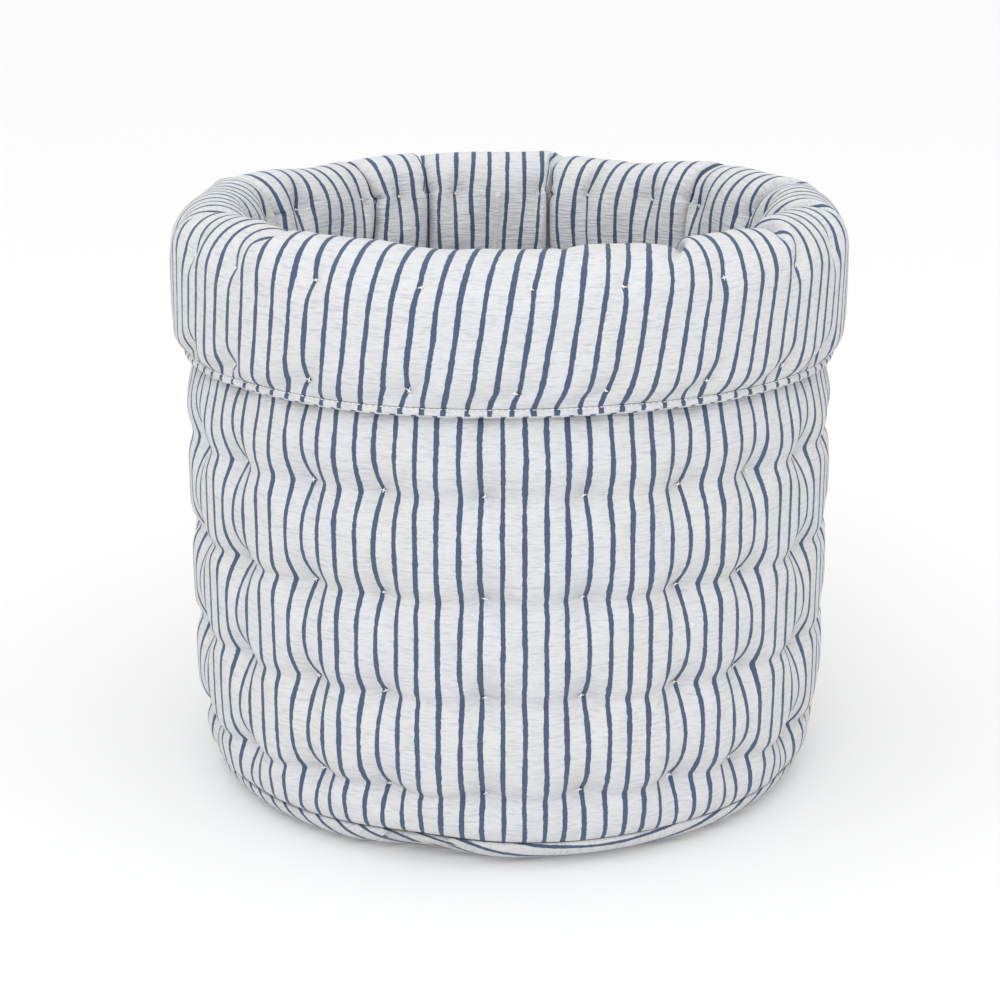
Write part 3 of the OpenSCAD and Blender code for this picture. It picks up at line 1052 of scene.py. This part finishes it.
def build_base(material):
    """Padded round base: flat under, a soft rounded edge up to the wall's seam, quilted on the inside."""
    under, under_reach = base_under()
    inside, inside_reach = base_inside()
    rows = np.stack(under + inside)
    faces = tube_faces(1, len(rows), AROUND)
    reach = np.array(under_reach + inside_reach)[:, None]
    x, y = reach * np.cos(EVEN_ANGLES), reach * np.sin(EVEN_ANGLES)
    across = x * math.sin(BASE_GRAIN) - y * math.cos(BASE_GRAIN)
    along = x * math.cos(BASE_GRAIN) + y * math.sin(BASE_GRAIN)
    place = np.stack([across, along], -1).reshape(-1, 2)
    return plain_mesh("base_pad", rows.reshape(-1, 3), faces, material, place)


def base_stitches(material):
    """A crossed stitch at each tuft of the floor."""
    r = np.random.default_rng(61)
    paths = []
    steps = range(-BASE_TUFT_REACH, BASE_TUFT_REACH + 1)
    for i, j in ((i, j) for i in steps for j in steps if abs(i) + abs(j) < 2 * BASE_TUFT_REACH):
        lean = r.uniform(0, 1.5)
        for turn in (lean, lean + 1.57):
            t = np.linspace(-1, 1, 5) * 2.4 * MM
            x, y = i * ROW_PITCH + t * math.cos(turn), j * ROW_PITCH + t * math.sin(turn)
            z = base_height(x, y) + 0.5 * MM
            paths.append(np.stack([x, y, z], -1))
    return tubes("base_tuft_stitches", paths, 0.42 * MM, material)


def seam_stitches(name, radius, height, step, material):
    """Running stitches round a seam; height(directions) says how high it runs."""
    count = int(TAU * radius / step)
    away = radius + np.array([-0.25, 0.1, 0.1, -0.25]) * MM
    paths = []
    for k in range(count):
        turn = k * TAU / count + np.linspace(-0.3, 0.3, 4) * TAU / count
        paths.append(np.stack([away * np.cos(turn), away * np.sin(turn), height(turn)], -1))
    return tubes(name, paths, 0.28 * MM, material, sides=5)


def stands_for(obj, slot, *nodes):
    """Hides the CAD nodes that a piece replaces. The slot is not used."""
    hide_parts(*nodes)


def follow_rim(obj):
    """Bakes a piece's transform into its mesh."""
    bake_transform(obj)


def wall_back(gap):
    """Rows of the hidden back of a wall quilt, that far outside the middle of the wall."""
    back_z = np.linspace(SEAM_Z + 1 * MM, RIM_Z - 2 * MM, 8)
    middle = (BODY_R + BELLY_IN_R) / 2
    middle_r = middle - (middle - (NECK_R + MOUTH_R) / 2) * neck_share(back_z)
    return np.stack([ring_points(EVEN_ANGLES, r + gap, z) for r, z in zip(middle_r, back_z)])


def build_wall(face, tufts, material):
    _, along = run_length(face)
    quilt = close_ring("wall_quilt", face, wall_back(0.5 * MM), cloth_across(), along, material, tufts)
    follow_rim(quilt)
    stands_for(quilt, "striped_muslin", "wall_cover", "wall_wadding", "neck_wadding")


def build_lining(inner, material):
    rows = slice(0, JOIN_ROW + 1)
    folds = inner["fold_rows"][inner["fold_rows"] <= JOIN_ROW]
    quilt = close_ring("lining_quilt", inner["face"][rows], wall_back(-0.5 * MM), cloth_across(),
                       inner["along"][rows], material, inner["lining_tufts"], folds, flip=True)
    follow_rim(quilt)
    stands_for(quilt, "striped_lining", "wall_lining")


def build_cuff(inner, material):
    angles = inner["angles"]
    back_z = np.linspace(RIM_Z + 1 * MM, HEM_Z + 1 * MM, 9)
    backing = np.stack([ring_points(angles[-1], float(wall_out_r(z)) + SLIDE_GAP, z) for z in back_z])
    under = ring_points(angles[JOIN_ROW + 4], (NECK_R + MOUTH_R) / 2, RIM_Z + 3 * MM)
    back = np.concatenate([under[None], backing])
    tufts = [(row - JOIN_ROW, column) for row, column in inner["cuff_tufts"]]
    folds = inner["fold_rows"][inner["fold_rows"] >= JOIN_ROW] - JOIN_ROW
    quilt = close_ring("cuff_quilt", inner["face"][JOIN_ROW:], back, cloth_across(),
                       inner["along"][JOIN_ROW:], material, tufts, folds, flip=True)
    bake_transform(quilt)
    stands_for(quilt, "striped_muslin", "rim_cover", "rim_wadding", "rim_backing", "cuff_cover",
               "cuff_wadding", "cuff_backing", "hem_cover", "hem_wadding", "hem_backing")


def build_stitches(wall, wall_tufts, inner, material):
    """The stitches that show at the tufts of the wall, the lining, the rim and the hem."""
    lining_tufts, cuff_tufts = inner["lining_tufts"], inner["cuff_tufts"]
    low = [t for t in lining_tufts if t[0] != JOIN_ROW]
    mouth = [t for t in lining_tufts if t[0] == JOIN_ROW]
    rim = mouth + [t for t in cuff_tufts if t[0] == JOIN_ROW + CUFF_TUFT_ROWS[0]]
    hem = [t for t in cuff_tufts if t[0] == JOIN_ROW + CUFF_TUFT_ROWS[1]]
    on_wall = tuft_stitches("wall_tuft_stitches", wall, wall_tufts, 1, material, 71)
    on_lining = tuft_stitches("lining_tuft_stitches", inner["face"], low, -1, material, 72)
    on_rim = tuft_stitches("rim_tuft_stitches", inner["face"], rim, -1, material, 73)
    on_hem = tuft_stitches("hem_tuft_stitches", inner["face"], hem, -1, material, 74)
    follow_rim(on_wall)
    follow_rim(on_lining)
    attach(on_rim, "cuff_fold")
    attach(on_hem, "cuff_hem")
    for obj, ring in ((on_wall, "wall"), (on_lining, "wall"), (on_rim, "rim"), (on_hem, "hem")):
        stands_for(obj, "cotton_thread", ring + "_tufts")


def build_side_seams(wall, inner, mats):
    wall_rows = np.where(LEVELS <= NECK_START_Z)[0]
    outside = seam_strip("wall_seam_fell", wall, wall_rows, 1, mats["muslin"])
    inside = seam_strip("lining_seam_fell", inner["face"], np.arange(JOIN_ROW + 1), -1, mats["lining"])
    follow_rim(outside)
    follow_rim(inside)
    stands_for(outside, "striped_muslin", "wall_side_seam")
    stands_for(inside, "striped_lining", "lining_side_seam")


def build_quilts(mats):
    """Wall, lining and cuff, stitched. Returns the direction of each of the cuff's columns at the hem."""
    wall, wall_tufts = wall_face()
    inner = inner_cloth()
    build_wall(wall, wall_tufts, mats["muslin"])
    build_lining(inner, mats["lining"])
    build_cuff(inner, mats["muslin"])
    build_stitches(wall, wall_tufts, inner, mats["thread"])
    build_side_seams(wall, inner, mats)
    return inner["angles"][-1]


def build_hem(hem_angles, mats):
    """Piping along the hem, and the stitches of its seam."""
    roll = build_piping(hem_angles, mats["muslin"])
    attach(roll, "cuff_hem")
    stands_for(roll, "piping", "hem_piping", "hem_piping_cord")
    stitches = seam_stitches("hem_seam_stitches", PIPING_MID_R + PIPING_R * 0.6,
                             lambda a: HEM_Z - 0.5 * MM + hem_drop(a), 3.2 * MM, mats["thread"])
    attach(stitches, "cuff_hem")
    stands_for(stitches, "cotton_thread", "hem_seam_thread")


def build_bottom(mats):
    """Base, its tufts, and its seams with the wall outside and inside."""
    base = build_base(mats["muslin"])
    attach(base, "basket")
    stands_for(base, "striped_muslin", "base_cover", "base_wadding", "base_lining")
    thread = mats["thread"]
    step = 3.4 * MM
    tufts = base_stitches(thread)
    outer = seam_stitches("base_seam_stitches", BASE_R - 0.6 * MM,
                          lambda a: SEAM_Z + base_seam_lift(a), step, thread)
    inner = seam_stitches("lining_seam_stitches", BELLY_IN_R - 0.2 * MM,
                          lambda a: SEAM_Z + 0 * a, step, thread)
    for obj, node in ((tufts, "base_tufts"), (outer, "base_seam_thread"), (inner, "lining_seam_thread")):
        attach(obj, "basket")
        stands_for(obj, "cotton_thread", node)


make_camera()
make_light()
make_floor()
mats = {"muslin": muslin("striped_muslin"), "lining": muslin("striped_lining"), "thread": thread_material()}
hem_angles = build_quilts(mats)
build_hem(hem_angles, mats)
build_bottom(mats)
